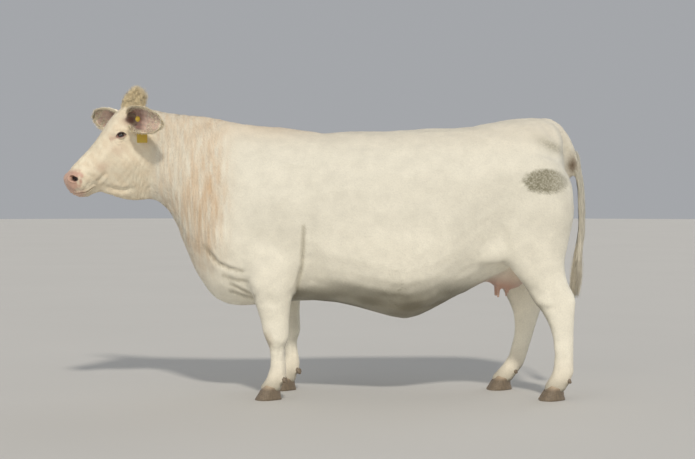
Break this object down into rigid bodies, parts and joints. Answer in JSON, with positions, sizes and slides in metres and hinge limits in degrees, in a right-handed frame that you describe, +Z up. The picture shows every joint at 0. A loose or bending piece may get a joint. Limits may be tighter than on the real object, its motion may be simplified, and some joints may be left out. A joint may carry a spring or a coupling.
{
  "type": "charolais cow",
  "caption": "Life-size still model of a standing cream-white beef cow, head turned a little to its left, with a yellow tag in its left ear.",
  "frame": {"origin": "middle of the footprint box, at floor level under the hooves", "axes": "+Z up, the cow faces -X with its left side at -Y"},
  "size_m": [2.5305, 0.7513, 1.5182],
  "materials": {
    "coat": "short cream-white hair, matt with a soft sheen",
    "tuft": "long curly tan hair",
    "bare_skin": "pink bare skin, satin",
    "eye": "wet and glossy, dark brown",
    "horn": "worn horn, grey brown",
    "tag": "moulded yellow plastic, satin"
  },
  "bodies": {
    "root": {"ear_left": "coat", "ear_right": "coat", "ear_tag_button": "tag", "ear_tag_flag": "tag", "eye_left": "eye", "eye_right": "eye", "front_left_claw_inner": "horn", "front_left_claw_outer": "horn", "front_left_dewclaw_inner": "horn", "front_left_dewclaw_outer": "horn", "front_left_leg": "coat", "front_right_claw_inner": "horn", "front_right_claw_outer": "horn", "front_right_dewclaw_inner": "horn", "front_right_dewclaw_outer": "horn", "front_right_leg": "coat", "head": "coat", "hind_left_claw_inner": "horn", "hind_left_claw_outer": "horn", "hind_left_dewclaw_inner": "horn", "hind_left_dewclaw_outer": "horn", "hind_left_leg": "coat", "hind_right_claw_inner": "horn", "hind_right_claw_outer": "horn", "hind_right_dewclaw_inner": "horn", "hind_right_dewclaw_outer": "horn", "hind_right_leg": "coat", "neck": "coat", "tail_lower": "coat", "tail_switch": "tuft", "tail_upper": "coat", "torso": "coat", "udder": "bare_skin"}
  },
  "joints": []
}
